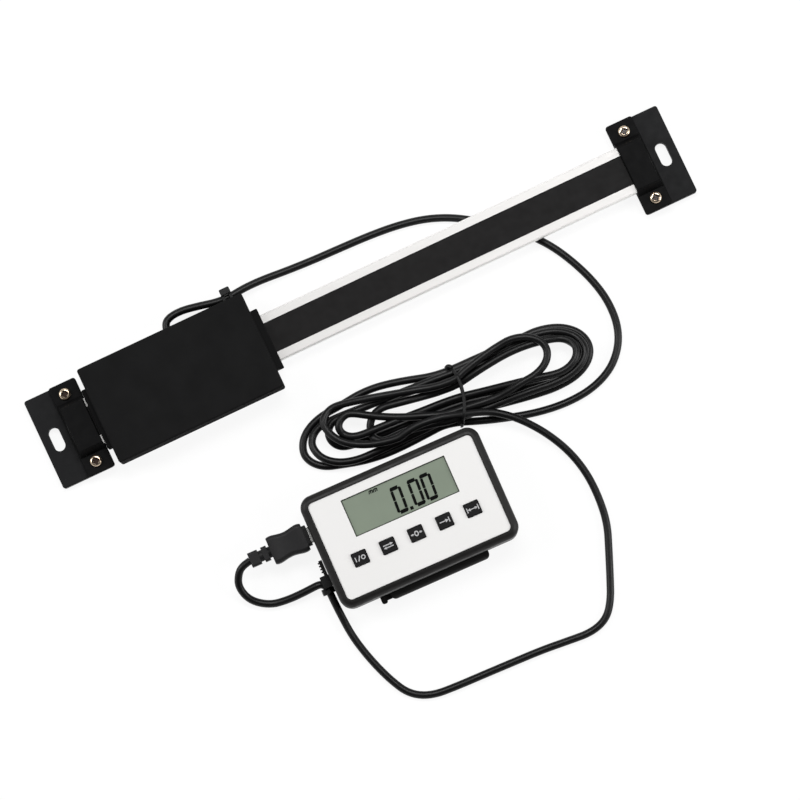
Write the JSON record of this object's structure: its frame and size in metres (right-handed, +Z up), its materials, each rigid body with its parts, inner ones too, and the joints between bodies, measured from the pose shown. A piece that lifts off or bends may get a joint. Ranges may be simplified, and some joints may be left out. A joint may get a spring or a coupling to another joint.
{
  "type": "digital linear scale",
  "caption": "Digital linear scale: flat steel beam with end brackets slides through a reading head, whose tied-up cable runs to a small remote display with a screen and push keys.",
  "frame": {"origin": "midway between the two end brackets' mounting slots, on the plane the brackets stand on", "axes": "+X along the beam away from the head's resting end, +Y across the beam on the side where the cable leaves the head, +Z up out of the strip's face"},
  "size_m": [0.2698, 0.1832, 0.0195],
  "materials": {
    "satin_steel": "satin, drawn lengthwise",
    "strip_film": "smooth black film",
    "circuit_board": "solder mask",
    "bracket_plastic": "moulded, fine texture",
    "head_plastic": "moulded, fine texture",
    "back_plate_metal": "satin",
    "slide_plastic": "smooth",
    "spring_steel": "bright",
    "zinc_screw": "yellow plated",
    "chip_black": "moulded",
    "cable_jacket": "soft satin jacket",
    "tie_plastic": "smooth",
    "case_plastic": "moulded, fine texture",
    "face_film": "smooth printed film",
    "lcd_glass": "smooth reflective display",
    "zebra_rubber": "soft",
    "cell_steel": "bright",
    "plated_steel": "bright plate",
    "key_rubber": "moulded"
  },
  "bodies": {
    "readout": {"head_cover": "head_plastic", "back_plate": "back_plate_metal", "carriage": "head_plastic", "slide_pads": "slide_plastic", "end_guide_left": "head_plastic", "end_guide_right": "head_plastic", "gib_spring": "spring_steel", "head_pcb": "circuit_board", "head_pcb_parts": "chip_black", "head_screws": "zinc_screw", "cable_grommet": "cable_jacket", "lead_tie": "tie_plastic", "front_housing": "case_plastic", "rear_housing": "case_plastic", "faceplate": "face_film", "lcd_panel": "lcd_glass", "zebra_strips": "zebra_rubber", "display_pcb": "circuit_board", "dome_switches": "spring_steel", "coin_cell": "cell_steel", "battery_contacts": "spring_steel", "usb_socket": "plated_steel", "stand_pins": "spring_steel", "housing_screws": "zinc_screw", "display_tie": "tie_plastic", "cable_head_lead": "cable_jacket", "cable_beam_span": "cable_jacket", "cable_hank_lead": "cable_jacket", "cable_loop": "cable_jacket", "cable_plug_lead": "cable_jacket", "cable_hank": "cable_jacket", "hank_tie": "tie_plastic", "plug_strain_relief": "cable_jacket", "plug_overmould": "cable_jacket", "plug_shell": "plated_steel"},
    "scale": {"beam": "satin_steel", "encoder_strip": "circuit_board", "strip_cover": "strip_film", "bracket_base_left": "bracket_plastic", "bracket_base_right": "bracket_plastic", "clamp_strap_left": "bracket_plastic", "clamp_strap_right": "bracket_plastic", "bracket_screws_left": "zinc_screw", "bracket_screws_right": "zinc_screw"},
    "stand": {"stand": "case_plastic"},
    "battery_cover": {"battery_cover": "case_plastic"},
    "key_1": {"key_1": "key_rubber"},
    "key_2": {"key_2": "key_rubber"},
    "key_3": {"key_3": "key_rubber"},
    "key_4": {"key_4": "key_rubber"},
    "key_5": {"key_5": "key_rubber"}
  },
  "joints": [
    {"name": "scale_slide", "type": "slide", "parent": "readout", "child": "scale", "axis": [-1, 0, 0], "range_m": [0, 0.151], "deforming": ["cable_beam_span"]},
    {"name": "stand_fold", "type": "hinge", "parent": "readout", "child": "stand", "pos_m": [-0.01924, -0.0758, 0.0018], "axis": [0.9997, -0.0262, 0], "range_deg": [0, 75]},
    {"name": "battery_cover_turn", "type": "hinge", "parent": "readout", "child": "battery_cover", "pos_m": [-0.01962, -0.0903, 0.0014], "axis": [0, 0, -1], "range_deg": [0, 60]},
    {"name": "key_1_press", "type": "slide", "parent": "readout", "child": "key_1", "axis": [0, 0, -1], "range_m": [0, 0.0006], "stiffness_N_per_m": 1500},
    {"name": "key_2_press", "type": "slide", "parent": "readout", "child": "key_2", "axis": [0, 0, -1], "range_m": [0, 0.0006], "stiffness_N_per_m": 1500},
    {"name": "key_3_press", "type": "slide", "parent": "readout", "child": "key_3", "axis": [0, 0, -1], "range_m": [0, 0.0006], "stiffness_N_per_m": 1500},
    {"name": "key_4_press", "type": "slide", "parent": "readout", "child": "key_4", "axis": [0, 0, -1], "range_m": [0, 0.0006], "stiffness_N_per_m": 1500},
    {"name": "key_5_press", "type": "slide", "parent": "readout", "child": "key_5", "axis": [0, 0, -1], "range_m": [0, 0.0006], "stiffness_N_per_m": 1500}
  ]
}
